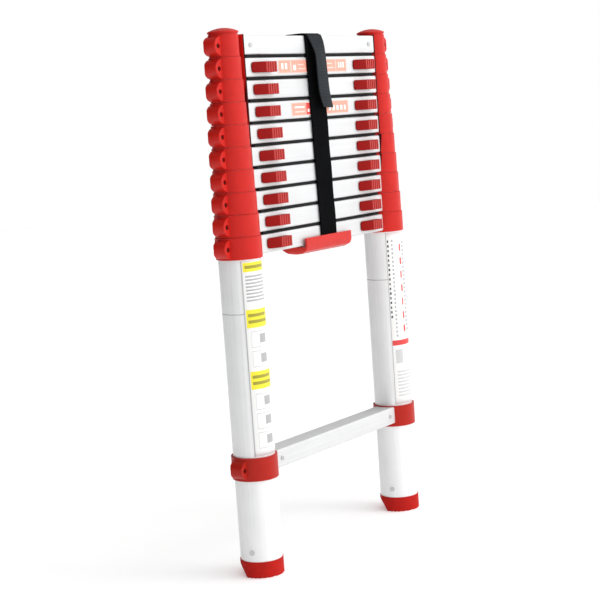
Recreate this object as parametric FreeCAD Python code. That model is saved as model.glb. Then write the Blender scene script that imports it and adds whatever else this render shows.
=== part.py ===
import FreeCAD, Part
import math
import os

V = FreeCAD.Vector
os.makedirs("parts", exist_ok=True)

# Telescoping ladder, closed. Millimetres, +Z up, user side towards -Y.
# The origin is on the floor, midway between the two feet.

# Whole ladder
SECTIONS = 10           # nested pairs of stile tubes, 1 is the innermost and 10 the outermost
POST_X = 180.8          # half the distance between the two stile axes
STEP = 300.0            # tread to tread when open
PITCH = 29.9            # tread to tread when closed
TRAVEL = STEP - PITCH   # how far each section slides out of the next one
RUNG_11_TOP = 167.0     # top of the lowest, fixed rung

# Stile tubes
BASE_RADIUS = 29.2      # outside radius of the outermost tube
RADIUS_STEP = 1.25      # difference in radius from one tube to the next
TUBE_WALL = 0.9
INNER_TUBE_LENGTH = 424.0
BUSH_RIM = 3.0          # height of the guide bush's rim below the tube
BUSH_STEM = 15.0        # height of the bush inside the tube
BUSH_WALL = 2.0
BUSH_RUNNING = 0.05     # radial clearance of the bush in the next tube
FIT = 0.05              # radial clearance of a pushed-on or running part

# Rungs
RUNG_HEIGHT = 25.4
RUNG_FRONT = -17.9
RUNG_BACK = 14.5
RUNG_WALL = 1.6
RUNG_CORNER = 2.0
RUNG_END = 21.5         # from the stile axis to the square-cut end of the rung
COPE_GAP = 0.2
BUMPER_HEIGHT = 4.1
BUMPER_FRONT = -16.8
BUMPER_BACK = 13.3

# Collars
COLLAR_10_BOTTOM = 439.2
COLLAR_GAP = 0.3        # seam between stacked collars
COLLAR_WALL = 2.6
LIP_HEIGHT = 1.0        # inner lip that covers the end of the tube
LOBE_REACH = 12.6       # how far the screw lobe stands out from the tube
LOBE_FRONT = -9.4
LOBE_BACK = 11.4
LOBE_HEIGHT = 25.6
LOBE_CORNER = 12.5
LOBE_ROUND = 2.5        # rounding of the upright edges at the end of the lobe
FLANGE_IN = 18.6        # flange plate against the rung's end
FLANGE_OUT = 21.3
FLANGE_FRONT = -18.2
FLANGE_BACK = 14.7
PLUG_END = 46.5         # end of the plug inside the rung, from the stile axis
PLUG_CLEAR = 0.2
PLUG_FRONT_LATCHED = -8.0
CLAMP_BOTTOM = 136.2
CLAMP_HEIGHT = 32.0
CLAMP_WALL = 2.9

# Clamp screws in the lobes
SCREW_INSET = 7.2       # from the end of the lobe
SCREW_HEAD_R = 3.0
SCREW_HEAD_HEIGHT = 3.2
SCREW_POCKET_R = 3.3
SCREW_POCKET_DEPTH = 6.0
SCREW_R = 2.0
SCREW_HOLE_R = 2.1
NUT_R = 3.6

# Thumb latches, measured from the stile axis towards the middle of the rung
BUTTON_START = 33.5     # on section 2
BUTTON_STEP = 0.85      # added for each wider section
BUTTON_LENGTH = 48.0
BUTTON_HEIGHT = 14.4
BUTTON_RISE = 10.5
BUTTON_PLATE = 1.4
LONG_RAMP = 20.0        # smooth slope on the button's left
SHORT_RAMP = 4.0        # steep end on its right
RIB_COUNT = 5
RIB_DEPTH = 0.8
SLOT_START = 39.0
SLOT_END = 75.0
SLOT_HALF_HEIGHT = 5.5
STEM_START = 43.0
STEM_END = 64.0
MOVING_GAP = 0.35
CARRIER_START = 31.0
CARRIER_END = 80.0
CARRIER_DEPTH = 2.5
CARRIER_HALF_HEIGHT = 9.0
ARM_START = 50.0
ARM_END = 58.0
PIN_R = 4.5
LATCH_TRAVEL = 7.0

# Feet and end caps
FOOT_HEIGHT = 22.4
FOOT_RADIUS = 30.2
FOOT_STEM_TOP = 60.0
FOOT_STEM_WALL = 3.0
SOLE_FLAT_END = 4.5     # the sole is flat from the front edge to here, then curves up
SOLE_CURVE = [(7.5, 4.4), (11.6, 9.8), (17.0, 14.4), (23.7, 18.0), (31.2, 20.6)]
GROOVE_PITCH = 5.5
GROOVE_WIDTH = 2.0
GROOVE_DEPTH = 1.6
CAP_RADIUS = 21.0
CAP_NECK_R = 19.6
CAP_NECK_HEIGHT = 2.2
CAP_BRIM = 2.2
CAP_DOME = 5.0
CAP_STEM = 20.0

# Rivets
RIVET_HEAD_R = 3.2
RIVET_HEAD_HEIGHT = 1.0
RIVET_R = 1.9
RIVET_HOLE_R = 2.0
RIVET_LENGTH = 5.0
RUNG_1_RIVET_X = 146.0
RUNG_11_RIVET_X = 141.0
FOOT_RIVET_Z = 35.5
FOOT_RIVET_TURN = 12.0       # degrees towards the front from straight across
FOOT_RIVET_HEAD_R = 3.6

# Carry handle under rung 10
HANDLE_X = 1.0
HANDLE_HALF = 56.5
HANDLE_WALL = 3.0
HANDLE_OUTER = [(-24.0, 452.5), (-24.0, 439.5), (-21.1, 434.0), (-13.5, 430.0), (0.0, 428.5),
                (12.0, 430.0), (20.0, 435.5)]
HANDLE_INNER = [(-21.2, 454.5), (-21.2, 440.5), (-18.7, 436.2), (-12.5, 433.0), (0.0, 431.5),
                (11.0, 432.8), (17.6, 437.5)]
HANDLE_SIDE_TOP = 439.5
HANDLE_CORNER = 7.0
HANDLE_POST_X = 43.0
HANDLE_POST_R = 5.0

# Webbing strap over the stack of rungs
STRAP_LEFT = -21.0
STRAP_RIGHT = 18.0
STRAP_LEAN = 1.7        # degrees the tails hang out of plumb
STRAP_THICK = 1.4
STRAP_FRONT = -20.3
STRAP_BACK = 16.7
STRAP_TOP_GAP = 2.0
STRAP_END_Z = 445.5
# Loose flap from top to end: left z, x, y and right z, x, y of its front face
FLAP = [(737.5, -19.0, -21.9, 737.5, 16.0, -21.9),
        (727.0, -14.5, -24.6, 727.0, 20.5, -22.9),
        (708.0, -12.0, -30.6, 708.0, 23.0, -23.5),
        (680.0, -11.0, -31.0, 680.0, 25.5, -23.5),
        (655.0, -8.5, -31.0, 655.0, 28.0, -23.5),
        (634.0, -1.0, -31.2, 632.7, 34.0, -23.5)]

# Labels round the front of the two outermost tubes
LABEL_GAP = 0.05
LABEL_THICK = 0.25
LABEL_HALF_ANGLE = 51.0
LABEL_BOTTOM = 170.5
LABEL_TOP = 437.0


def tube_radius(k):
    """Outside radius of the tubes of section k."""
    return BASE_RADIUS - RADIUS_STEP * (SECTIONS - k)


def collar_bottom(k):
    """Height of the underside of collar k in the closed ladder."""
    return COLLAR_10_BOTTOM + PITCH * (SECTIONS - k)


def rung_top(k):
    """Height of the tread of rung k in the closed ladder."""
    if k > SECTIONS:
        return RUNG_11_TOP
    return RUNG_11_TOP + STEP + PITCH * (SECTIONS - k)


def rung_middle(k):
    return rung_top(k) - RUNG_HEIGHT / 2


def tube_top(k):
    return collar_bottom(k) + PITCH - COLLAR_GAP - LIP_HEIGHT


def box(x0, x1, y0, y1, z0, z1):
    return Part.makeBox(x1 - x0, y1 - y0, z1 - z0, V(x0, y0, z0))


def post(radius, z0, z1, x=0.0, y=0.0):
    """Upright cylinder."""
    return Part.makeCylinder(radius, z1 - z0, V(x, y, z0), V(0, 0, 1))


def rod_x(radius, x0, x1, y=0.0, z=0.0):
    return Part.makeCylinder(radius, x1 - x0, V(x0, y, z), V(1, 0, 0))


def rod_y(radius, y0, y1, x=0.0, z=0.0):
    return Part.makeCylinder(radius, y1 - y0, V(x, y0, z), V(0, 1, 0))


def foot_rivet_rod(radius, start, end, side):
    """Rod out through one side of a tube at the foot, for a rivet or its hole."""
    rod = rod_x(radius, start, end, 0, FOOT_RIVET_Z)
    if side < 0:
        rod = rod.mirror(V(0, 0, 0), V(1, 0, 0))
    rod.rotate(V(0, 0, 0), V(0, 0, 1), -side * FOOT_RIVET_TURN)
    return rod


def prism_x(points, x0, x1):
    """Extrude a closed (y, z) outline from x0 to x1."""
    corners = [V(x0, y, z) for y, z in points]
    face = Part.Face(Part.makePolygon(corners + [corners[0]]))
    return face.extrude(V(x1 - x0, 0, 0))


def prism_y(points, y0, y1):
    """Extrude a closed (x, z) outline from y0 to y1."""
    corners = [V(x, y0, z) for x, z in points]
    face = Part.Face(Part.makePolygon(corners + [corners[0]]))
    return face.extrude(V(0, y1 - y0, 0))


def prism_z(points, z0, z1):
    """Extrude a closed (x, y) outline from z0 to z1."""
    corners = [V(x, y, z0) for x, y in points]
    face = Part.Face(Part.makePolygon(corners + [corners[0]]))
    return face.extrude(V(0, 0, z1 - z0))


def rounded_rect(a0, a1, b0, b1, radius, steps=6):
    """Closed outline of a rectangle with rounded corners."""
    centres = [(a1 - radius, b0 + radius, -90), (a1 - radius, b1 - radius, 0),
               (a0 + radius, b1 - radius, 90), (a0 + radius, b0 + radius, 180)]
    points = []
    for a, b, start in centres:
        for i in range(steps + 1):
            angle = math.radians(start + 90.0 * i / steps)
            points.append((a + radius * math.cos(angle), b + radius * math.sin(angle)))
    return points


def both_sides(left):
    """A part modelled round the left stile's axis, put on both stiles."""
    right = left.mirror(V(0, 0, 0), V(1, 0, 0))
    left_placed = left.copy()
    left_placed.translate(V(-POST_X, 0, 0))
    right.translate(V(POST_X, 0, 0))
    return left_placed, right


def on_both_stiles(solids):
    placed = []
    for solid in solids:
        placed.extend(both_sides(solid))
    return placed


def save(node, solids):
    shape = Part.makeCompound(solids) if len(solids) > 1 else solids[0]
    shape.exportStep("parts/%s.step" % node)


def stile_tube(k):
    """Left tube of section k, with its lock holes facing the rungs."""
    radius = tube_radius(k)
    top = tube_top(k)
    bottom = FOOT_HEIGHT if k == SECTIONS else top - INNER_TUBE_LENGTH
    tube = post(radius, bottom, top).cut(post(radius - TUBE_WALL, bottom - 1, top + 1))
    if k > 1:
        tube = tube.cut(rod_x(PIN_R + MOVING_GAP, 0, radius + 5, 0, rung_middle(k)))
    if k < SECTIONS:
        lock_z = rung_middle(k + 1) - TRAVEL
        tube = tube.cut(rod_x(PIN_R + MOVING_GAP, 0, radius + 5, 0, lock_z))
    else:
        for side in (-1, 1):
            tube = tube.cut(foot_rivet_rod(RIVET_HOLE_R, 0, radius + 5, side))
    return tube


def guide_bush(k):
    """Bush in the lower end of an inner tube, running in the next tube out."""
    radius = tube_radius(k)
    bottom = tube_top(k) - INNER_TUBE_LENGTH
    rim_r = radius + RADIUS_STEP - TUBE_WALL - BUSH_RUNNING
    stem_r = radius - TUBE_WALL - FIT
    bush = post(rim_r, bottom - BUSH_RIM, bottom).fuse(post(stem_r, bottom, bottom + BUSH_STEM))
    return bush.cut(post(stem_r - BUSH_WALL, bottom - BUSH_RIM - 1, bottom + BUSH_STEM + 1))


def lobe(reach, height):
    """Rounded screw lobe that stands out from the ring, away from the rung."""
    z0 = (height - LOBE_HEIGHT) / 2
    side_view = rounded_rect(-reach, reach, z0, z0 + LOBE_HEIGHT, LOBE_CORNER, 8)
    plan = rounded_rect(-reach, reach, LOBE_FRONT, LOBE_BACK, LOBE_ROUND, 6)
    whole = prism_y(side_view, LOBE_FRONT, LOBE_BACK).common(prism_z(plan, z0, z0 + LOBE_HEIGHT))
    return whole.common(box(-reach, 0, LOBE_FRONT, LOBE_BACK, z0, z0 + LOBE_HEIGHT))


def collar(radius, wall, height, rung_low, latched, lipped):
    """Collar round the left stile, its underside at z = 0."""
    outer = radius + wall
    reach = radius + LOBE_REACH
    ring = post(outer, 0, height)
    plate = box(FLANGE_IN, FLANGE_OUT, FLANGE_FRONT, FLANGE_BACK, 0, height)
    inside_low = rung_low + RUNG_WALL + PLUG_CLEAR
    inside_high = rung_low + RUNG_HEIGHT - RUNG_WALL - PLUG_CLEAR
    plug_front = PLUG_FRONT_LATCHED if latched else RUNG_FRONT + RUNG_WALL + PLUG_CLEAR
    plug_back = RUNG_BACK - RUNG_WALL - PLUG_CLEAR
    plug = box(FLANGE_IN, PLUG_END, plug_front, plug_back, inside_low, inside_high)
    body = ring.fuse([plate, lobe(reach, height), plug])
    if lipped:
        body = body.cut(post(radius + FIT, -1, height - LIP_HEIGHT))
        body = body.cut(post(radius - TUBE_WALL, -1, height + 1))
    else:
        body = body.cut(post(radius + FIT, -1, height + 1))
    if latched:
        body = body.cut(rod_x(PIN_R + FIT, 0, PLUG_END + 1, 0, rung_low + RUNG_HEIGHT / 2))
    screw_x = SCREW_INSET - reach
    middle = height / 2
    pocket_end = LOBE_FRONT + SCREW_POCKET_DEPTH
    nut_seat = LOBE_BACK - SCREW_POCKET_DEPTH
    body = body.cut(rod_y(SCREW_POCKET_R, LOBE_FRONT - 1, pocket_end, screw_x, middle))
    body = body.cut(rod_y(SCREW_HOLE_R, LOBE_FRONT, LOBE_BACK + 1, screw_x, middle))
    body = body.cut(rod_y(NUT_R + FIT, nut_seat, LOBE_BACK + 1, screw_x, middle))
    return body.removeSplitter()


def clamp_screw(radius, height):
    """Clamp screw and its nut, in the lobe of a collar whose underside is at z = 0."""
    x = SCREW_INSET - radius - LOBE_REACH
    z = height / 2
    seat = LOBE_FRONT + SCREW_POCKET_DEPTH
    nut_seat = LOBE_BACK - SCREW_POCKET_DEPTH
    head = rod_y(SCREW_HEAD_R, seat - SCREW_HEAD_HEIGHT, seat, x, z)
    socket = rod_y(1.5, seat - SCREW_HEAD_HEIGHT - 1, seat - 1.2, x, z)
    shank = rod_y(SCREW_R, seat, LOBE_BACK - 1.5, x, z)
    nut_points = []
    for i in range(6):
        angle = math.radians(60 * i)
        nut_points.append((x + NUT_R * math.cos(angle), z + NUT_R * math.sin(angle)))
    nut = prism_y(nut_points, nut_seat, nut_seat + 3.2)
    nut = nut.cut(rod_y(SCREW_R + FIT, nut_seat - 1, nut_seat + 5, x, z))
    return [head.fuse(shank).cut(socket), nut]


def rung(k):
    """Hollow rung, coped round the collar rings, with its latch slots or rivet holes."""
    top = rung_top(k)
    bottom = top - RUNG_HEIGHT
    end = POST_X - RUNG_END
    outline = rounded_rect(RUNG_FRONT, RUNG_BACK, bottom, top, RUNG_CORNER)
    body = prism_x(outline, -end, end)
    body = body.cut(box(-end - 1, end + 1, RUNG_FRONT + RUNG_WALL, RUNG_BACK - RUNG_WALL,
                        bottom + RUNG_WALL, top - RUNG_WALL))
    radius = BASE_RADIUS if k > SECTIONS else tube_radius(k)
    wall = CLAMP_WALL if k > SECTIONS else COLLAR_WALL
    middle = rung_middle(k)
    front_in = RUNG_FRONT + RUNG_WALL
    for side in (-1, 1):
        body = body.cut(post(radius + wall + COPE_GAP, bottom - 1, top + 1, side * POST_X))
        if 1 < k <= SECTIONS:
            shift = BUTTON_STEP * (k - 2)
            outline = rounded_rect(SLOT_START + shift, SLOT_END + shift, middle - SLOT_HALF_HEIGHT,
                                   middle + SLOT_HALF_HEIGHT, SLOT_HALF_HEIGHT - 0.01, 8)
            outline = [(side * (POST_X - x), z) for x, z in outline]
            body = body.cut(prism_y(outline, RUNG_FRONT - 1, front_in + 1))
        else:
            x = side * (RUNG_1_RIVET_X if k == 1 else RUNG_11_RIVET_X)
            body = body.cut(rod_y(RIVET_HOLE_R, RUNG_FRONT - 1, front_in + 1, x, middle))
    return body


def bumper(k):
    """Rubber strip under rung k that fills the gap to the rung below."""
    top = rung_top(k) - RUNG_HEIGHT
    end = POST_X - tube_radius(k + 1) - COLLAR_WALL - 3.0
    return box(-end, end, BUMPER_FRONT, BUMPER_BACK, top - BUMPER_HEIGHT, top)


def latch(k, side):
    """Thumb button with its carrier and lock pin. side is -1 on the left, 1 on the right."""
    z = rung_middle(k)
    shift = BUTTON_STEP * (k - 2)
    face = RUNG_FRONT - 0.3
    start = BUTTON_START + shift
    end = start + BUTTON_LENGTH
    crown = face - BUTTON_RISE
    near_ramp = LONG_RAMP if side < 0 else SHORT_RAMP
    far_ramp = SHORT_RAMP if side < 0 else LONG_RAMP
    ridge_start = start + near_ramp
    ridge_end = end - far_ramp
    side_view = [(start, face), (start, face - BUTTON_PLATE), (ridge_start, crown)]
    rib = (ridge_end - ridge_start) / (2 * RIB_COUNT - 1)
    for i in range(RIB_COUNT - 1):
        x = ridge_start + rib * (2 * i + 1)
        side_view += [(x, crown), (x, crown + RIB_DEPTH), (x + rib, crown + RIB_DEPTH), (x + rib, crown)]
    side_view += [(ridge_end, crown), (end, face - BUTTON_PLATE), (end, face)]
    half = BUTTON_HEIGHT / 2
    button = prism_z(side_view, z - half, z + half)
    plan = rounded_rect(start, end, z - half, z + half, 4.5, 6)
    button = button.common(prism_y(plan, crown - 1, face + 1))
    inner = RUNG_FRONT + RUNG_WALL + 0.3
    back = inner + CARRIER_DEPTH
    stem = box(STEM_START + shift, STEM_END + shift, face, inner, z - SLOT_HALF_HEIGHT + MOVING_GAP,
               z + SLOT_HALF_HEIGHT - MOVING_GAP)
    carrier = box(CARRIER_START + shift, CARRIER_END + shift, inner, back, z - CARRIER_HALF_HEIGHT,
                  z + CARRIER_HALF_HEIGHT)
    arm = box(ARM_START + shift, ARM_END + shift, back, PIN_R + 1, z - PIN_R - 1, z + PIN_R + 1)
    tip = tube_radius(k) - TUBE_WALL
    pin = rod_x(PIN_R, tip, ARM_START + shift, 0, z)
    solids = [button.fuse(stem), carrier.fuse(arm), pin]
    if side > 0:
        solids = [s.mirror(V(0, 0, 0), V(1, 0, 0)) for s in solids]
    for solid in solids:
        solid.translate(V(side * POST_X, 0, 0))
    return solids


def foot():
    """Rubber foot under the left tube: a plug in the tube and a sole curved up at the back."""
    head = post(FOOT_RADIUS, 0, FOOT_HEIGHT)
    below = [(SOLE_FLAT_END, -0.01)] + SOLE_CURVE + [(SOLE_CURVE[-1][0], -1), (SOLE_FLAT_END, -1)]
    head = head.cut(prism_x(below, -FOOT_RADIUS - 1, FOOT_RADIUS + 1))
    y = SOLE_FLAT_END - 2 * GROOVE_WIDTH
    while y > -FOOT_RADIUS + GROOVE_WIDTH:
        head = head.cut(box(-FOOT_RADIUS, FOOT_RADIUS, y - GROOVE_WIDTH, y, -1, GROOVE_DEPTH))
        y -= GROOVE_PITCH
    stem_r = BASE_RADIUS - TUBE_WALL - FIT
    stem = post(stem_r, FOOT_HEIGHT, FOOT_STEM_TOP)
    stem = stem.cut(post(stem_r - FOOT_STEM_WALL, FOOT_HEIGHT, FOOT_STEM_TOP + 1))
    for side in (-1, 1):
        stem = stem.cut(foot_rivet_rod(RIVET_HOLE_R, 0, BASE_RADIUS, side))
    return head.fuse(stem)


def end_cap():
    """Domed cap over the left stile's top collar."""
    base = collar_bottom(1) + PITCH - COLLAR_GAP
    brim = base + CAP_NECK_HEIGHT
    top = brim + CAP_BRIM
    dome_r = (CAP_RADIUS ** 2 + CAP_DOME ** 2) / (2 * CAP_DOME)
    dome = Part.makeSphere(dome_r, V(0, 0, top + CAP_DOME - dome_r))
    dome = dome.common(post(CAP_RADIUS, top, top + CAP_DOME + 1))
    stem_r = tube_radius(1) - TUBE_WALL - FIT
    stem = post(stem_r, base - CAP_STEM, base).cut(post(stem_r - 2, base - CAP_STEM - 1, base))
    return post(CAP_NECK_R, base, brim).fuse([post(CAP_RADIUS, brim, top), dome, stem])


def rung_rivets(k, x):
    """A rivet through the front of rung k, and its twin on the other side."""
    z = rung_middle(k)
    rivets = []
    for side in (-1, 1):
        head = rod_y(RIVET_HEAD_R, RUNG_FRONT - RIVET_HEAD_HEIGHT, RUNG_FRONT, side * x, z)
        rivets.append(head.fuse(rod_y(RIVET_R, RUNG_FRONT, RUNG_FRONT + RIVET_LENGTH, side * x, z)))
    return rivets


def foot_rivets():
    """Rivets through both sides of each outermost tube into the foot's plug."""
    shell = post(BASE_RADIUS, 0, 2 * FOOT_RIVET_Z)
    inside = BASE_RADIUS - TUBE_WALL - FOOT_STEM_WALL
    start = BASE_RADIUS - 1.0
    rivets = []
    for x in (-POST_X, POST_X):
        for side in (-1, 1):
            head = foot_rivet_rod(FOOT_RIVET_HEAD_R, start, BASE_RADIUS + RIVET_HEAD_HEIGHT, side)
            rivet = head.cut(shell).fuse(foot_rivet_rod(RIVET_R, inside, BASE_RADIUS + 0.5, side))
            rivet.translate(V(x, 0, 0))
            rivets.append(rivet)
    return rivets


def plug_rivet_holes(collar_solid, k, x, rung_low):
    """Holes for the rung rivets in the plug of the left collar."""
    hole = rod_y(RIVET_HOLE_R, RUNG_FRONT, RUNG_FRONT + RIVET_LENGTH + 2, POST_X - x,
                 rung_low + RUNG_HEIGHT / 2)
    return collar_solid.cut(hole)


def carry_handle():
    """Scoop under rung 10 with a front lip."""
    x0 = HANDLE_X - HANDLE_HALF
    x1 = HANDLE_X + HANDLE_HALF
    side_top = HANDLE_SIDE_TOP
    outer = HANDLE_OUTER + [(HANDLE_OUTER[-1][0], side_top), (HANDLE_INNER[0][0], side_top),
                            (HANDLE_INNER[0][0], HANDLE_OUTER[0][1])]
    inner = HANDLE_INNER + [(HANDLE_INNER[-1][0] + 20, HANDLE_INNER[-1][1] + 12),
                            (HANDLE_INNER[-1][0], 470.0), (HANDLE_INNER[0][0], 470.0)]
    shell = prism_x(outer, x0, x1).cut(prism_x(inner, x0 + HANDLE_WALL, x1 - HANDLE_WALL))
    plan = rounded_rect(x0, x1, HANDLE_OUTER[4][1] - 0.01, HANDLE_OUTER[0][1] + 20, HANDLE_CORNER, 8)
    shell = shell.common(prism_y(plan, -40, 40))
    rung_bottom = rung_top(SECTIONS) - RUNG_HEIGHT
    for x in (HANDLE_X - HANDLE_POST_X, HANDLE_X + HANDLE_POST_X):
        shell = shell.fuse(post(HANDLE_POST_R, HANDLE_INNER[4][1] - 1, rung_bottom, x))
    return shell


def strap():
    """Webbing over the top rung, with its two tails hanging down the stack."""
    over = rung_top(1) + STRAP_TOP_GAP
    outer = [(STRAP_FRONT, STRAP_END_Z), (STRAP_FRONT, over - 2), (STRAP_FRONT + 3, over + STRAP_THICK),
             (STRAP_BACK - 3, over + STRAP_THICK), (STRAP_BACK, over - 2), (STRAP_BACK, STRAP_END_Z)]
    back_in = STRAP_BACK - STRAP_THICK
    front_in = STRAP_FRONT + STRAP_THICK
    inner = [(back_in, STRAP_END_Z), (back_in, over - 2.5), (back_in - 2.2, over),
             (front_in + 2.2, over), (front_in, over - 2.5), (front_in, STRAP_END_Z)]
    loop = prism_x(outer + inner, STRAP_LEFT, STRAP_RIGHT)
    loop.rotate(V((STRAP_LEFT + STRAP_RIGHT) / 2, 0, over), V(0, 1, 0), -STRAP_LEAN)
    return loop


def flap():
    """Loose end of the strap, hanging in front of it with its left edge turned out."""
    wires = []
    for left_z, left_x, left_y, right_z, right_x, right_y in FLAP:
        corners = [V(left_x, left_y, left_z), V(right_x, right_y, right_z),
                   V(right_x, right_y + STRAP_THICK, right_z), V(left_x, left_y + STRAP_THICK, left_z)]
        wires.append(Part.makePolygon(corners + [corners[0]]))
    return Part.makeLoft(wires, True, True)


def label():
    """Thin label round the front of the left outermost tube."""
    inner = BASE_RADIUS + LABEL_GAP
    sheet = post(inner + LABEL_THICK, LABEL_BOTTOM, LABEL_TOP)
    sheet = sheet.cut(post(inner, LABEL_BOTTOM - 1, LABEL_TOP + 1))
    edge = math.radians(LABEL_HALF_ANGLE)
    far = 3 * BASE_RADIUS
    x = far * math.sin(edge)
    y = -far * math.cos(edge)
    corners = [V(0, 0, LABEL_BOTTOM - 1), V(-x, y, LABEL_BOTTOM - 1), V(x, y, LABEL_BOTTOM - 1)]
    wedge = Part.Face(Part.makePolygon(corners + [corners[0]]))
    return sheet.common(wedge.extrude(V(0, 0, LABEL_TOP - LABEL_BOTTOM + 2)))


def moved_up(solids, z):
    for solid in solids:
        solid.translate(V(0, 0, z))
    return solids


for number in range(1, SECTIONS + 1):
    tubes = [stile_tube(number)]
    if number < SECTIONS:
        tubes.append(guide_bush(number))
    save("stile_tubes_%02d" % number, on_both_stiles(tubes))

    height = PITCH - COLLAR_GAP
    bottom_z = collar_bottom(number)
    low = rung_top(number) - RUNG_HEIGHT - bottom_z
    has_latch = number > 1
    ring = collar(tube_radius(number), COLLAR_WALL, height, low, has_latch, True)
    if not has_latch:
        ring = plug_rivet_holes(ring, number, RUNG_1_RIVET_X, low)
    hardware = clamp_screw(tube_radius(number), height)
    save("collars_%02d" % number, on_both_stiles(moved_up([ring] + hardware, bottom_z)))

    pieces = [rung(number)]
    if number < SECTIONS:
        pieces.append(bumper(number))
    save("rung_%02d" % number, pieces)
    if has_latch:
        save("latch_left_%02d" % number, latch(number, -1))
        save("latch_right_%02d" % number, latch(number, 1))

low = rung_top(11) - RUNG_HEIGHT - CLAMP_BOTTOM
clamp = collar(BASE_RADIUS, CLAMP_WALL, CLAMP_HEIGHT, low, False, False)
clamp = plug_rivet_holes(clamp, 11, RUNG_11_RIVET_X, low)
hardware = clamp_screw(BASE_RADIUS, CLAMP_HEIGHT)
save("collars_11", on_both_stiles(moved_up([clamp] + hardware, CLAMP_BOTTOM)))
save("rung_11", [rung(11)])
save("feet", on_both_stiles([foot()]))
save("end_caps", on_both_stiles([end_cap()]))
save("rivets_top", rung_rivets(1, RUNG_1_RIVET_X))
save("rivets_base", rung_rivets(11, RUNG_11_RIVET_X) + foot_rivets())
save("carry_handle", [carry_handle()])
save("strap", [strap(), flap()])
label_left, label_right = both_sides(label())
save("label_left", [label_left])
save("label_right", [label_right])
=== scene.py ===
import math

import bmesh
import bpy
from mathutils import Matrix, Vector


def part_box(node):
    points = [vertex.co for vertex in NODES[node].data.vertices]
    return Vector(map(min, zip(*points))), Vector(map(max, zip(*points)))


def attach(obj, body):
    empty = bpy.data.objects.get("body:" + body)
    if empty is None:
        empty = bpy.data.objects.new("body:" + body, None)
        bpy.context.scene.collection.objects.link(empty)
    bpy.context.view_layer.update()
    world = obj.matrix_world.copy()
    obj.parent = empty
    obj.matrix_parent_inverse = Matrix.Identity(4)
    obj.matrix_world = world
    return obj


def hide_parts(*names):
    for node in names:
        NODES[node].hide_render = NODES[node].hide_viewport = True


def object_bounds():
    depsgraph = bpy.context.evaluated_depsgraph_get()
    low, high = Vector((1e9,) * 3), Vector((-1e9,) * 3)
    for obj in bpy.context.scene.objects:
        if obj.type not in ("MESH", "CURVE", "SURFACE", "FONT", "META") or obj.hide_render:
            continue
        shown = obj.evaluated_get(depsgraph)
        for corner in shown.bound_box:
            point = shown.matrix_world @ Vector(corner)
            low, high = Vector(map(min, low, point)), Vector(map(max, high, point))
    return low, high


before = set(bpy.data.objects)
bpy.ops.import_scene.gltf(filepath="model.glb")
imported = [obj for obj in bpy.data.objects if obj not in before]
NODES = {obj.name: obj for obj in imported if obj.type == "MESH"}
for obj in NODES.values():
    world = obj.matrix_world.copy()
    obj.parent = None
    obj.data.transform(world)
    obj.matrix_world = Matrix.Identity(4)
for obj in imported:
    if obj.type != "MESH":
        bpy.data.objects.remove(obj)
cad_low, cad_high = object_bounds()

SECTIONS = 10

# Metres, as in the CAD
POST_X = 0.1808             # half the distance between the stile axes
BASE_RADIUS = 0.0292        # outermost tube
SEAM_Z = 0.3655             # hairline around the outermost tubes
TUBE_MIN_HEIGHT = 0.1       # a taller solid among the stile tubes is a tube, a lower one a bush
RING_MIN_HEIGHT = 0.02      # a taller solid among the collars is a ring, a lower one a screw or nut
RUNG_FRONT = -0.0179
RUNG_HALF_HEIGHT = 0.0127
RIB_FRONT = -0.0272         # the thumb buttons' ribs lie in front of this
FLANGE_IN = POST_X - 0.0217
FLANGE_OUT = POST_X - 0.0183
FLANGE_FRONT = -0.0190
FLANGE_BACK = -0.0165
STRAP_LEFT = -0.021
STRAP_WIDTH = 0.039
STRAP_LEAN = 1.7            # degrees
STRAP_HALF_THICK = 0.0007
STRAP_TOP = 0.7388          # middle of the webbing where it crosses the top rung
STRAP_FRONT = -0.0196
STRAP_BACK = 0.0160
STRAP_END = 0.4457
STRAP_BEND = 0.005
# Rows down the loose flap: left edge x, y, z and right edge x, y, z
FLAP = [(-0.0190, -0.0214, 0.7372, 0.0160, -0.0212, 0.7374),
        (-0.0145, -0.0240, 0.7270, 0.0205, -0.0222, 0.7270),
        (-0.0120, -0.0299, 0.7080, 0.0230, -0.0228, 0.7080),
        (-0.0110, -0.0303, 0.6800, 0.0255, -0.0228, 0.6800),
        (-0.0085, -0.0303, 0.6550, 0.0280, -0.0228, 0.6550),
        (-0.0010, -0.0305, 0.6342, 0.0340, -0.0228, 0.6330)]

LABEL_RADIUS = BASE_RADIUS + 0.0001
LABEL_LOW = 0.1705
LABEL_HIGH = 0.4370
LABEL_EDGE = math.radians(50.8)     # half the angle that a tube's label covers
LABEL_GAP = 0.00006                 # between a rung and its label
RUNG_LABEL_HEIGHT = 0.0185
FILM_THICK = 0.00015

SHARP_EDGE = math.radians(28)
ROUNDED_EDGE = math.radians(32)

CAMERA_PLACE = (-1.7673, -1.2534, 0.6274)
CAMERA_ANGLES = (53.895, 7.082, -4.005)     # yaw, pitch and roll in degrees
CAMERA_LENS = 89.8
CAMERA_SENSOR = 36.0

LIGHT_FROM = (0.45, -0.80, 0.30)    # the brightest part of the surroundings


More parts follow.
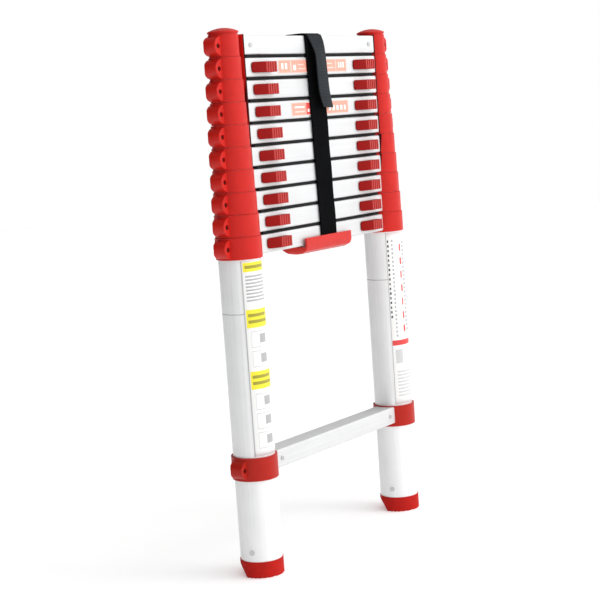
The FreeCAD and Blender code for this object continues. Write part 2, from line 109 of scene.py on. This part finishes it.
def make_camera():
    yaw, pitch, roll = (math.radians(a) for a in CAMERA_ANGLES)
    ahead = Vector((math.sin(yaw), math.cos(yaw), 0))
    across = Vector((math.cos(yaw), -math.sin(yaw), 0))
    up = Vector((0, 0, 1))
    look = math.cos(pitch) * ahead - math.sin(pitch) * up
    tilted_up = math.cos(pitch) * up + math.sin(pitch) * ahead
    right = math.cos(roll) * across + math.sin(roll) * tilted_up
    top = -math.sin(roll) * across + math.cos(roll) * tilted_up
    data = bpy.data.cameras.new("camera")
    data.sensor_width = CAMERA_SENSOR
    data.lens = CAMERA_LENS
    data.clip_end = 50.0
    camera = bpy.data.objects.new("camera", data)
    matrix = Matrix((right, top, -look)).transposed().to_4x4()
    matrix.translation = Vector(CAMERA_PLACE)
    camera.matrix_world = matrix
    bpy.context.scene.collection.objects.link(camera)
    bpy.context.scene.camera = camera


make_camera()


# ---- Materials ----

class Material:
    """A node material with a few shorthands for its procedural parts."""

    def __init__(self, name, roughness, metallic=0.0, **sockets):
        self.material = bpy.data.materials.new(name)
        self.material.use_nodes = True
        self.nodes = self.material.node_tree.nodes
        self.links = self.material.node_tree.links
        self.shader = self.nodes["Principled BSDF"]
        self.shader.inputs["Roughness"].default_value = roughness
        self.shader.inputs["Metallic"].default_value = metallic
        for key, value in sockets.items():
            self.shader.inputs[key.replace("_", " ")].default_value = value
        self.coordinates = self.nodes.new("ShaderNodeTexCoord")
        self.normal = None

    def where(self, scale, output="Object"):
        """Coordinates times a scale for each axis; the larger, the finer the pattern."""
        mapping = self.nodes.new("ShaderNodeMapping")
        mapping.inputs["Scale"].default_value = scale
        self.links.new(self.coordinates.outputs[output], mapping.inputs["Vector"])
        return mapping.outputs["Vector"]

    def noise(self, scale, detail=3.0, roughness=0.55):
        node = self.nodes.new("ShaderNodeTexNoise")
        node.inputs["Scale"].default_value = 1.0
        node.inputs["Detail"].default_value = detail
        node.inputs["Roughness"].default_value = roughness
        self.links.new(self.where(scale), node.inputs["Vector"])
        return node.outputs["Fac"]

    def wave(self, scale, output="Object", axis="X", wobble=0.0):
        node = self.nodes.new("ShaderNodeTexWave")
        node.bands_direction = axis
        node.wave_profile = "SIN"
        node.inputs["Scale"].default_value = 1.0
        node.inputs["Distortion"].default_value = wobble
        self.links.new(self.where(scale, output), node.inputs["Vector"])
        return node.outputs["Fac"]

    def ramp(self, value, stops):
        node = self.nodes.new("ShaderNodeValToRGB")
        while len(node.color_ramp.elements) < len(stops):
            node.color_ramp.elements.new(0.5)
        for element, (position, colour) in zip(node.color_ramp.elements, stops):
            element.position = position
            element.color = (*colour, 1.0)
        self.links.new(value, node.inputs["Fac"])
        return node.outputs["Color"]

    def math(self, operation, a, b):
        node = self.nodes.new("ShaderNodeMath")
        node.operation = operation
        for socket, value in zip(node.inputs, (a, b)):
            if isinstance(value, (int, float)):
                socket.default_value = value
            else:
                self.links.new(value, socket)
        return node.outputs["Value"]

    def colour(self, value):
        self.links.new(value, self.shader.inputs["Base Color"])

    def roughness(self, value, low, high):
        node = self.nodes.new("ShaderNodeMapRange")
        node.inputs["To Min"].default_value = low
        node.inputs["To Max"].default_value = high
        self.links.new(value, node.inputs["Value"])
        self.links.new(node.outputs["Result"], self.shader.inputs["Roughness"])

    def bump(self, value, height, strength=1.0):
        """Stack a bump of this height in metres on the ones before it."""
        node = self.nodes.new("ShaderNodeBump")
        node.inputs["Distance"].default_value = height
        node.inputs["Strength"].default_value = strength
        self.links.new(value, node.inputs["Height"])
        if self.normal is not None:
            self.links.new(self.normal, node.inputs["Normal"])
        self.normal = node.outputs["Normal"]
        self.links.new(self.normal, self.shader.inputs["Normal"])


def shades(colour, spread):
    """Two colours, a little darker and lighter than this one."""
    darker = tuple(c * (1 - spread) for c in colour)
    lighter = tuple(min(c * (1 + spread), 1.0) for c in colour)
    return darker, lighter


def plastic(name, colour, roughness=0.42, spread=0.06, grain=0.00003, **sockets):
    """Moulded plastic: cloudy colour, fine mould texture, uneven gloss."""
    made = Material(name, roughness, **sockets)
    cloud = made.noise((60, 60, 60), 4.0)
    low, high = shades(colour, spread)
    made.colour(made.ramp(cloud, [(0.3, low), (0.7, high)]))
    fine = made.noise((1500, 1500, 1500), 2.0)
    made.roughness(made.noise((220, 220, 220), 3.0), roughness - 0.06, roughness + 0.08)
    made.bump(fine, grain)
    made.bump(made.noise((40, 40, 40), 2.0), 0.00025, 0.5)
    return made.material


def extrusion(name, colour, stretch, roughness, metallic, treads=False, seam=None):
    """Satin anodised aluminium with extrusion lines, and treads on a rung or a seam at a height."""
    made = Material(name, roughness, metallic)
    lines = made.noise(stretch, 3.0, 0.6)
    low, high = shades(colour, 0.045)
    cloud = made.noise((25, 25, 25), 3.0)
    tone = made.math("ADD", made.math("MULTIPLY", lines, 0.65), made.math("MULTIPLY", cloud, 0.35))
    tint = made.ramp(tone, [(0.36, low), (0.64, high)])
    made.roughness(lines, roughness - 0.07, roughness + 0.09)
    made.bump(lines, 0.00003)
    if seam is not None:
        place = made.nodes.new("ShaderNodeSeparateXYZ")
        made.links.new(made.coordinates.outputs["Object"], place.inputs["Vector"])
        off = made.math("ABSOLUTE", made.math("SUBTRACT", place.outputs["Z"], seam), 0.0)
        shade = made.nodes.new("ShaderNodeMix")
        shade.data_type = "RGBA"
        made.links.new(made.math("LESS_THAN", off, 0.0004), shade.inputs["Factor"])
        made.links.new(tint, shade.inputs["A"])
        shade.inputs["B"].default_value = (0.22, 0.22, 0.23, 1.0)
        tint = shade.outputs["Result"]
    made.colour(tint)
    if treads:
        geometry = made.nodes.new("ShaderNodeNewGeometry")
        split = made.nodes.new("ShaderNodeSeparateXYZ")
        made.links.new(geometry.outputs["Normal"], split.inputs["Vector"])
        upward = made.math("GREATER_THAN", split.outputs["Z"], 0.85)
        ridges = made.wave((1, 130, 1), axis="Y")
        made.bump(made.math("MULTIPLY", ridges, upward), 0.0009)
    return made.material


def steel(name, colour, roughness):
    """Bare metal with fine spots."""
    made = Material(name, roughness, 1.0)
    spots = made.noise((700, 700, 700), 4.0)
    low, high = shades(colour, 0.12)
    made.colour(made.ramp(spots, [(0.3, low), (0.7, high)]))
    made.roughness(spots, roughness - 0.08, roughness + 0.1)
    made.bump(spots, 0.00002)
    return made.material


def rubber(name, colour):
    """Dull rubber with a pebbled skin."""
    made = Material(name, 0.72, 0.0, **{"Specular_IOR_Level": 0.15})
    cloud = made.noise((90, 90, 90), 5.0)
    low, high = shades(colour, 0.10)
    made.colour(made.ramp(cloud, [(0.3, low), (0.7, high)]))
    made.roughness(cloud, 0.62, 0.82)
    made.bump(made.noise((1100, 1100, 1100), 3.0), 0.00006)
    return made.material


def webbing(name, dark, light, gloss):
    """Plain woven tape. Its UV map is in metres, across and along the tape."""
    made = Material(name, 0.8, 0.0, **{"Specular_IOR_Level": gloss, "Sheen_Weight": gloss,
                                       "Sheen_Roughness": 0.45})
    ends = made.wave((205, 1, 1), "UV", "X", wobble=0.4)
    picks = made.wave((1, 150, 1), "UV", "Y", wobble=0.4)
    weave = made.math("MULTIPLY", ends, picks)
    worn = made.noise((45, 45, 45), 4.0)
    tone = made.math("ADD", made.math("MULTIPLY", weave, 0.6), made.math("MULTIPLY", worn, 0.4))
    made.colour(made.ramp(tone, [(0.15, dark), (0.75, light)]))
    made.bump(weave, 0.00025)
    made.bump(made.noise((400, 400, 400), 3.0), 0.00008)
    return made.material


def print_film(name, colour, roughness=0.45):
    """Printed film: slightly uneven ink over a smooth base."""
    made = Material(name, roughness)
    ink = made.noise((900, 900, 900), 2.0)
    low, high = shades(colour, 0.05)
    made.colour(made.ramp(ink, [(0.3, low), (0.7, high)]))
    made.roughness(made.noise((60, 60, 60), 2.0), roughness - 0.06, roughness + 0.08)
    made.bump(made.noise((120, 120, 120), 2.0), 0.00005, 0.5)
    return made.material


M = {
    "tube": extrusion("tube_aluminium", (0.86, 0.865, 0.87), (420, 420, 4), 0.38, 0.30),
    "base_tube": extrusion("base_tube_aluminium", (0.86, 0.865, 0.87), (420, 420, 4), 0.38, 0.30,
                           seam=SEAM_Z),
    "rung": extrusion("rung_aluminium", (0.69, 0.695, 0.70), (4, 500, 500), 0.42, 0.45, treads=True),
    "red": plastic("red_collar", (0.58, 0.014, 0.009), 0.42, Specular_IOR_Level=0.22),
    "clamp": plastic("red_clamp", (0.43, 0.014, 0.007), 0.42, Specular_IOR_Level=0.2),
    # near-black red for the flange faces: painted shade of the recess between a collar and its rung
    "flange": plastic("red_flange_painted_shade", (0.05, 0.002, 0.002), 0.5, Specular_IOR_Level=0.06),
    # thumb buttons: one red in two copies, darker on the body as painted shade and lighter on the
    # ribbed crown as painted light
    "button": plastic("red_button_painted_shade", (0.26, 0.004, 0.003), 0.45, Specular_IOR_Level=0.08),
    "rib": plastic("red_button_ribs_painted_light", (0.44, 0.022, 0.017), 0.4, Specular_IOR_Level=0.4),
    "handle": plastic("red_handle", (0.60, 0.016, 0.010), 0.36, Specular_IOR_Level=0.32),
    "foot": rubber("red_rubber", (0.46, 0.010, 0.006)),
    "bumper": rubber("black_rubber", (0.010, 0.010, 0.011)),
    "bush": plastic("grey_nylon", (0.20, 0.20, 0.21), 0.5),
    "screw": steel("dark_steel", (0.11, 0.10, 0.10), 0.4),
    "lock": steel("zinc_steel", (0.55, 0.56, 0.58), 0.35),
    "rivet": steel("rivet_aluminium", (0.52, 0.52, 0.53), 0.24),
    "webbing": webbing("slate_webbing", (0.012, 0.014, 0.017), (0.036, 0.043, 0.050), 0.06),
    # near-black copy of the slate webbing for the strap loop: painted shade
    "webbing_painted_shade": webbing("webbing_painted_shade", (0.001, 0.001, 0.0015), (0.004, 0.0045, 0.005), 0.02),
    "film": print_film("white_film", (0.86, 0.86, 0.85)),
    "margin": print_film("grey_film", (0.60, 0.60, 0.60)),
    "yellow": print_film("yellow_ink", (0.88, 0.78, 0.03)),
    "ink": print_film("black_ink", (0.03, 0.03, 0.035)),
    "grey": print_film("grey_ink", (0.42, 0.42, 0.43)),
    "olive": print_film("olive_ink", (0.36, 0.32, 0.03)),
    "crimson": print_film("red_ink", (0.72, 0.05, 0.045)),
    "salmon": print_film("salmon_ink", (0.85, 0.36, 0.27)),
    "blush": print_film("pale_ink", (0.88, 0.62, 0.56)),
}


# ---- Pieces from CAD solids ----

def loose_solids(node):
    """The separate solids of a CAD node, each as a list of points and a list of faces."""
    source = NODES[node]
    whole = bmesh.new()
    whole.from_mesh(source.data)
    whole.transform(source.matrix_world)
    bmesh.ops.remove_doubles(whole, verts=whole.verts, dist=0.000002)
    whole.verts.ensure_lookup_table()
    seen = set()
    found = []
    for start in whole.verts:
        if start.index in seen:
            continue
        stack = [start]
        group = []
        seen.add(start.index)
        while stack:
            vertex = stack.pop()
            group.append(vertex)
            for edge in vertex.link_edges:
                other = edge.other_vert(vertex)
                if other.index not in seen:
                    seen.add(other.index)
                    stack.append(other)
        number = {v.index: i for i, v in enumerate(group)}
        faces = {f.index: [number[v.index] for v in f.verts] for v in group for f in v.link_faces}
        found.append(([v.co.copy() for v in group], list(faces.values())))
    whole.free()
    return found


def centre(solid):
    points = solid[0]
    return Vector([(min(p[a] for p in points) + max(p[a] for p in points)) / 2 for a in range(3)])


def size(solid):
    points = solid[0]
    return Vector([max(p[a] for p in points) - min(p[a] for p in points) for a in range(3)])


def new_object(name, mesh):
    made = bpy.data.objects.new(name, mesh)
    bpy.context.scene.collection.objects.link(made)
    return made


def piece(name, solids, material, body, node, bevel=0.0004, second=None, choose=None):
    """A piece made of CAD solids: edges rounded, materials and body set, and the node it replaces
    hidden.

    The second material goes on the faces that choose accepts.
    """
    mesh = bpy.data.meshes.new(name)
    shape = bmesh.new()
    for points, faces in solids:
        verts = [shape.verts.new(p) for p in points]
        for face in faces:
            if len(set(face)) > 2:
                try:
                    shape.faces.new([verts[i] for i in face])
                except ValueError:
                    pass
    bmesh.ops.recalc_face_normals(shape, faces=shape.faces)
    for face in shape.faces:
        face.smooth = True
        if choose is not None and choose(face):
            face.material_index = 1
    shape.to_mesh(mesh)
    shape.free()
    mesh.materials.append(M[material])
    if second is not None:
        mesh.materials.append(M[second])
    mesh.set_sharp_from_angle(angle=SHARP_EDGE)
    made = new_object(name, mesh)
    if bevel:
        rounding = made.modifiers.new("rounded_edges", "BEVEL")
        rounding.width = bevel
        rounding.segments = 3
        rounding.limit_method = "ANGLE"
        rounding.angle_limit = ROUNDED_EDGE
        rounding.harden_normals = True
    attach(made, body)
    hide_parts(node)
    return made


def side_of(solid):
    return "left" if centre(solid).x < 0 else "right"


def on_flange(face):
    """The narrow plate between a collar and its rung, whose faces get a near-black red as painted
    shade.
    """
    middle = face.calc_center_median()
    return FLANGE_IN < abs(middle.x) < FLANGE_OUT and FLANGE_FRONT < middle.y < FLANGE_BACK


def on_ribs(face):
    """The ribbed crown of a thumb button, which gets the lighter copy of the button red as painted
    light.
    """
    return face.calc_center_median().y < RIB_FRONT


for k in range(1, SECTIONS + 1):
    body = "section_%02d" % k
    node = "stile_tubes_%02d" % k
    solids = loose_solids(node)
    tubes = [s for s in solids if size(s).z > TUBE_MIN_HEIGHT]
    bushes = [s for s in solids if size(s).z <= TUBE_MIN_HEIGHT]
    material = "base_tube" if k == SECTIONS else "tube"
    for tube in tubes:
        piece("tube_%s_%02d" % (side_of(tube), k), [tube], material, body, node, 0)
    if bushes:
        piece("bushes_%02d" % k, bushes, "bush", body, node, 0.0003)

    node = "rung_%02d" % k
    solids = loose_solids(node)
    solids.sort(key=lambda s: -size(s).z)
    piece("tread_%02d" % k, solids[:1], "rung", body, node, 0)
    if len(solids) > 1:
        piece("bumper_%02d" % k, solids[1:], "bumper", body, node, 0.0008)

for k in range(1, SECTIONS + 2):
    body = "section_%02d" % min(k, SECTIONS)
    node = "collars_%02d" % k
    solids = loose_solids(node)
    rings = [s for s in solids if size(s).z > RING_MIN_HEIGHT]
    screws = [s for s in solids if size(s).z <= RING_MIN_HEIGHT]
    material = "red" if k <= SECTIONS else "clamp"
    for ring in rings:
        # the flange faces of each collar get the near-black red: painted shade
        piece("collar_%s_%02d" % (side_of(ring), k), [ring], material, body, node, 0.0007,
              "flange", on_flange)
    piece("clamp_screws_%02d" % k, screws, "screw", body, node, 0.0002)

for k in range(2, SECTIONS + 1):
    for side in ("left", "right"):
        node = "latch_%s_%02d" % (side, k)
        body = "button_%s_%02d" % (side, k)
        solids = loose_solids(node)
        solids.sort(key=lambda s: centre(s).y)
        # the button body gets the darker red (painted shade) and its ribs the lighter red (painted
        # light)
        piece("thumb_button_%s_%02d" % (side, k), solids[:1], "button", body, node,
              0.0005, "rib", on_ribs)
        piece("lock_pin_%s_%02d" % (side, k), solids[1:], "lock", body, node, 0.0003)

piece("fixed_tread", loose_solids("rung_11"), "rung", "section_10", "rung_11", 0)
piece("foot_pads", loose_solids("feet"), "foot", "section_10", "feet", 0.0008)
piece("top_caps", loose_solids("end_caps"), "red", "section_01", "end_caps", 0.0006)
piece("top_rivets", loose_solids("rivets_top"), "rivet", "section_01", "rivets_top", 0.0006)
piece("base_rivets", loose_solids("rivets_base"), "rivet", "section_10", "rivets_base",
      0.0006)
piece("scoop_handle", loose_solids("carry_handle"), "handle", "section_10", "carry_handle",
      0.0009)


# ---- Strap ----

def smooth_path(points, steps):
    """Catmull-Rom curve through points of any number of values."""
    path = []
    ends = [points[0]] + list(points) + [points[-1]]
    for i in range(1, len(ends) - 2):
        p0, p1, p2, p3 = ends[i - 1:i + 3]
        for j in range(steps):
            t = j / steps
            path.append(tuple(
                0.5 * (2 * b + (c - a) * t + (2 * a - 5 * b + 4 * c - d) * t ** 2
                       + (3 * b - a - 3 * c + d) * t ** 3)
                for a, b, c, d in zip(p0, p1, p2, p3)))
    path.append(tuple(points[-1]))
    return path


def tape(name, rows, material, body):
    """Woven tape from rows of points across it, with thickness, rounded edges and a UV map in metres.
    """
    mesh = bpy.data.meshes.new(name)
    shape = bmesh.new()
    layer = shape.loops.layers.uv.new("tape")
    grid = [[shape.verts.new(p) for p in row] for row in rows]
    along = [0.0]
    middle = len(rows[0]) // 2
    for before, after in zip(rows, rows[1:]):
        along.append(along[-1] + (Vector(after[middle]) - Vector(before[middle])).length)
    across = [STRAP_WIDTH * j / (len(rows[0]) - 1) for j in range(len(rows[0]))]
    for i in range(len(rows) - 1):
        for j in range(len(rows[0]) - 1):
            corners = [(i, j), (i, j + 1), (i + 1, j + 1), (i + 1, j)]
            face = shape.faces.new([grid[a][b] for a, b in corners])
            face.smooth = True
            for loop, (a, b) in zip(face.loops, corners):
                loop[layer].uv = (across[b], along[a])
    shape.to_mesh(mesh)
    shape.free()
    mesh.materials.append(M[material])
    made = new_object(name, mesh)
    thick = made.modifiers.new("thickness", "SOLIDIFY")
    thick.thickness = 2 * STRAP_HALF_THICK
    thick.offset = 0.0
    rounding = made.modifiers.new("rounded_edges", "BEVEL")
    rounding.width = 0.0004
    rounding.segments = 2
    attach(made, body)
    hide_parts("strap")
    return made


def strap_profile():
    """Middle of the tape in y and z, from its front end up, over the top rung and down the back."""
    points = []
    for i in range(70):
        points.append((STRAP_FRONT, STRAP_END + (STRAP_TOP - STRAP_BEND - STRAP_END) * i / 70))
    for i in range(9):
        angle = math.radians(180 - 90 * i / 8)
        points.append((STRAP_FRONT + STRAP_BEND + STRAP_BEND * math.cos(angle),
                       STRAP_TOP - STRAP_BEND + STRAP_BEND * math.sin(angle)))
    for i in range(1, 8):
        points.append((STRAP_FRONT + STRAP_BEND + (STRAP_BACK - STRAP_FRONT - 2 * STRAP_BEND) * i / 8,
                       STRAP_TOP))
    for i in range(9):
        angle = math.radians(90 - 90 * i / 8)
        points.append((STRAP_BACK - STRAP_BEND + STRAP_BEND * math.cos(angle),
                       STRAP_TOP - STRAP_BEND + STRAP_BEND * math.sin(angle)))
    for i in range(1, 71):
        points.append((STRAP_BACK, STRAP_TOP - STRAP_BEND
                       - (STRAP_TOP - STRAP_BEND - STRAP_END) * i / 70))
    return points


def strap_rows():
    """Rows of points across the tape, which leans to one side and hangs in slight waves."""
    rows = []
    lean = math.tan(math.radians(STRAP_LEAN))
    for y, z in strap_profile():
        row = []
        hang = min(max((STRAP_TOP - 0.01 - z) / 0.05, 0.0), 1.0)
        wave = 0.00035 * math.sin(z * 95) * hang
        for j in range(13):
            u = j / 12
            cup = 0.00025 * (1 - (2 * u - 1) ** 2) * hang
            outward = -1 if y < 0 else 1
            row.append((STRAP_LEFT + STRAP_WIDTH * u + (STRAP_TOP - z) * lean,
                        y + outward * (wave - cup) * 0.9, z))
        rows.append(row)
    return rows


def flap_rows():
    """Rows of points across the loose flap, which twists and bows forward as it hangs."""
    rows = []
    for left_x, left_y, left_z, right_x, right_y, right_z in smooth_path(FLAP, 9):
        row = []
        for j in range(13):
            u = j / 12
            bow = -0.0006 * math.sin(math.pi * u) * min((0.7372 - left_z) / 0.02, 1.0)
            row.append((left_x + (right_x - left_x) * u, left_y + (right_y - left_y) * u + bow,
                        left_z + (right_z - left_z) * u))
        rows.append(row)
    return rows


# the strap loop gets the near-black copy of the webbing, painted shade; the flap gets the slate
# webbing
tape("strap_loop", strap_rows(), "webbing_painted_shade", "section_01")
tape("strap_flap", flap_rows(), "webbing", "section_01")


# ---- Printed labels, with plain blocks and bars in place of any print ----

def printed(name, place, blocks, body, node=None, fine=1):
    """A thin sheet over u, v in 0..1, cut along the edges of the blocks (u0, u1, v0, v1, ink)."""
    us = sorted({round(b[i], 4) for b in blocks for i in (0, 1)} | {i / fine for i in range(fine + 1)})
    vs = sorted({round(b[i], 4) for b in blocks for i in (2, 3)} | {0.0, 1.0})
    inks = sorted({b[4] for b in blocks} | {"film"})
    mesh = bpy.data.meshes.new(name)
    shape = bmesh.new()
    grid = [[shape.verts.new(place(u, v)) for v in vs] for u in us]
    for i in range(len(us) - 1):
        for j in range(len(vs) - 1):
            face = shape.faces.new([grid[i][j], grid[i + 1][j], grid[i + 1][j + 1], grid[i][j + 1]])
            face.smooth = True
            u = (us[i] + us[i + 1]) / 2
            v = (vs[j] + vs[j + 1]) / 2
            ink = "film"
            for u0, u1, v0, v1, over in blocks:
                if u0 < u < u1 and v0 < v < v1:
                    ink = over
            face.material_index = inks.index(ink)
    shape.to_mesh(mesh)
    shape.free()
    for ink in inks:
        mesh.materials.append(M[ink])
    made = new_object(name, mesh)
    thick = made.modifiers.new("thickness", "SOLIDIFY")
    thick.thickness = FILM_THICK
    thick.offset = 1.0
    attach(made, body)
    if node is not None:
        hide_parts(node)
    return made


def bars(u0, u1, v0, v1, count, ink, ragged=0.25):
    """Evenly spaced bars that stand in for lines of print."""
    pitch = (v1 - v0) / count
    found = []
    for i in range(count):
        end = u1 - (u1 - u0) * ragged * ((i * 7) % 5) / 5
        found.append((u0, end, v0 + pitch * (i + 0.25), v0 + pitch * (i + 0.75), ink))
    return found


def panels(u0, u1, v0, v1, count):
    """A column of framed blocks that stands in for pictures."""
    found = []
    a = u0 + (u1 - u0) * 0.08
    b = u0 + (u1 - u0) * 0.92
    for i in range(count):
        c = v0 + (v1 - v0) * (i + 0.08) / count
        d = v0 + (v1 - v0) * (i + 0.92) / count
        found.append((a, b, c, d, "margin"))
        found.append((a + 0.012, b - 0.012, c + 0.004, d - 0.004, "film"))
        found.append((a + (b - a) * 0.35, b - (b - a) * 0.3, c + (d - c) * 0.25, d - (d - c) * 0.2,
                      "grey"))
    return found


def round_post(post_x):
    """Places a point of a label, u and v in 0..1, on the front of an outermost tube."""
    def place(u, v):
        angle = -LABEL_EDGE + 2 * LABEL_EDGE * u
        return (post_x + LABEL_RADIUS * math.sin(angle), -LABEL_RADIUS * math.cos(angle),
                LABEL_LOW + (LABEL_HIGH - LABEL_LOW) * v)
    return place


left_blocks = [(0.0, 0.035, 0.0, 1.0, "margin"), (0.965, 1.0, 0.0, 1.0, "margin"),
               (0.05, 0.95, 0.945, 0.992, "yellow"), (0.05, 0.95, 0.66, 0.753, "yellow"),
               (0.05, 0.95, 0.345, 0.437, "yellow")]
left_blocks += bars(0.10, 0.80, 0.953, 0.985, 1, "olive")
left_blocks += bars(0.10, 0.90, 0.79, 0.93, 8, "grey")
left_blocks += bars(0.10, 0.80, 0.675, 0.74, 2, "olive")
left_blocks += panels(0.08, 0.92, 0.45, 0.65, 2)
left_blocks += bars(0.10, 0.80, 0.36, 0.425, 2, "olive")
left_blocks += panels(0.08, 0.92, 0.03, 0.33, 3)
printed("tube_label_left", round_post(-POST_X), left_blocks, "section_10", "label_left", 16)

right_blocks = [(0.0, 0.02, 0.0, 1.0, "margin"), (0.98, 1.0, 0.0, 1.0, "margin"),
                (0.02, 0.98, 0.345, 0.375, "crimson"), (0.10, 0.34, 0.24, 0.32, "margin")]
right_blocks += bars(0.035, 0.085, 0.50, 0.965, 17, "ink", 0.3)
right_blocks += bars(0.16, 0.22, 0.39, 0.965, 24, "grey", 0.3)
right_blocks += bars(0.44, 0.52, 0.40, 0.95, 7, "crimson", 0.3)
right_blocks += bars(0.56, 0.92, 0.42, 0.95, 22, "grey")
right_blocks += bars(0.12, 0.90, 0.04, 0.20, 8, "margin")
printed("tube_label_right", round_post(POST_X), right_blocks, "section_10", "label_right",
        16)


def on_rung(x0, x1, rung):
    """Places a point of a label, u and v in 0..1, on the front of a rung."""
    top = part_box(rung)[1][2]
    middle = top - RUNG_HALF_HEIGHT

    def place(u, v):
        return (x0 + (x1 - x0) * u, RUNG_FRONT - LABEL_GAP, middle + RUNG_LABEL_HEIGHT * (v - 0.5))
    return place


upper = [(0.0, 1.0, 0.0, 1.0, "blush"), (0.01, 0.99, 0.05, 0.95, "salmon"),
         (0.045, 0.075, 0.30, 0.75, "film"), (0.095, 0.125, 0.30, 0.75, "film"),
         (0.17, 0.185, 0.12, 0.88, "blush"), (0.21, 0.25, 0.20, 0.60, "film"),
         (0.28, 0.38, 0.26, 0.36, "blush"), (0.28, 0.36, 0.56, 0.66, "blush"),
         (0.395, 0.50, 0.06, 0.94, "crimson"), (0.40, 0.46, 0.22, 0.36, "salmon"),
         (0.40, 0.46, 0.64, 0.78, "salmon"), (0.68, 0.80, 0.28, 0.38, "blush"),
         (0.68, 0.78, 0.60, 0.70, "blush"), (0.83, 0.84, 0.12, 0.88, "blush"),
         (0.87, 0.89, 0.30, 0.75, "film"), (0.905, 0.925, 0.30, 0.75, "film"),
         (0.94, 0.96, 0.30, 0.75, "film")]
printed("rung_label_upper", on_rung(-0.0865, 0.0825, "rung_02"), upper, "section_02")
lower = [(0.0, 1.0, 0.0, 1.0, "blush"), (0.01, 0.99, 0.05, 0.95, "salmon"),
         (0.05, 0.22, 0.58, 0.72, "film"), (0.05, 0.22, 0.25, 0.36, "blush"),
         (0.25, 0.50, 0.06, 0.94, "crimson"), (0.27, 0.30, 0.25, 0.48, "film"),
         (0.33, 0.36, 0.25, 0.48, "film"), (0.39, 0.42, 0.25, 0.48, "film"),
         (0.64, 0.68, 0.25, 0.62, "film"), (0.71, 0.75, 0.25, 0.62, "film"),
         (0.78, 0.82, 0.25, 0.62, "film"), (0.85, 0.89, 0.25, 0.62, "film"),
         (0.92, 0.95, 0.25, 0.62, "film")]
printed("rung_label_lower", on_rung(-0.0615, 0.0805, "rung_04"), lower, "section_04")


# ---- Floor and light ----

def make_floor():
    """Pale floor just under the feet, with a little light of its own."""
    shape = bmesh.new()
    bmesh.ops.create_grid(shape, x_segments=8, y_segments=8, size=6.0)
    mesh = bpy.data.meshes.new("floor")
    shape.to_mesh(mesh)
    shape.free()
    floor = new_object("floor", mesh)
    floor.location.z = cad_low[2] - 0.0002
    made = Material("floor", 0.9, 0.0, **{"Specular_IOR_Level": 0.1})
    pale = [(0.3, (0.93, 0.93, 0.93)), (0.7, (0.95, 0.95, 0.95))]
    made.colour(made.ramp(made.noise((3, 3, 3), 3.0), pale))
    made.shader.inputs["Emission Color"].default_value = (1, 1, 1, 1)
    made.shader.inputs["Emission Strength"].default_value = 0.26
    mesh.materials.append(made.material)


def make_world():
    """White backdrop, and soft light that falls off from the front right to the back left."""
    world = bpy.data.worlds.new("world")
    bpy.context.scene.world = world
    world.use_nodes = True
    nodes = world.node_tree.nodes
    links = world.node_tree.links
    background = nodes["Background"]
    coordinates = nodes.new("ShaderNodeTexCoord")
    facing = nodes.new("ShaderNodeVectorMath")
    facing.operation = "DOT_PRODUCT"
    facing.inputs[1].default_value = Vector(LIGHT_FROM).normalized()
    links.new(coordinates.outputs["Generated"], facing.inputs[0])
    fall = nodes.new("ShaderNodeMapRange")
    fall.inputs["From Min"].default_value = -0.45
    fall.inputs["From Max"].default_value = 0.75
    fall.inputs["To Min"].default_value = 0.05
    fall.inputs["To Max"].default_value = 1.45
    links.new(facing.outputs["Value"], fall.inputs["Value"])
    rays = nodes.new("ShaderNodeLightPath")
    shown = nodes.new("ShaderNodeMix")
    links.new(rays.outputs["Is Camera Ray"], shown.inputs["Factor"])
    links.new(fall.outputs["Result"], shown.inputs["A"])
    shown.inputs["B"].default_value = 1.0
    links.new(shown.outputs["Result"], background.inputs["Strength"])
    background.inputs["Color"].default_value = (1, 1, 1, 1)


def area_light(name, place, target, width, power):
    data = bpy.data.lights.new(name, "AREA")
    data.shape = "SQUARE"
    data.size = width
    data.energy = power
    lamp = bpy.data.objects.new(name, data)
    lamp.location = place
    lamp.rotation_euler = (Vector(target) - Vector(place)).to_track_quat("-Z", "Y").to_euler()
    bpy.context.scene.collection.objects.link(lamp)


make_floor()
make_world()
area_light("key", (0.9, -2.2, 1.7), (0, 0, 0.4), 1.2, 16)
bpy.context.scene.view_settings.view_transform = "Standard"
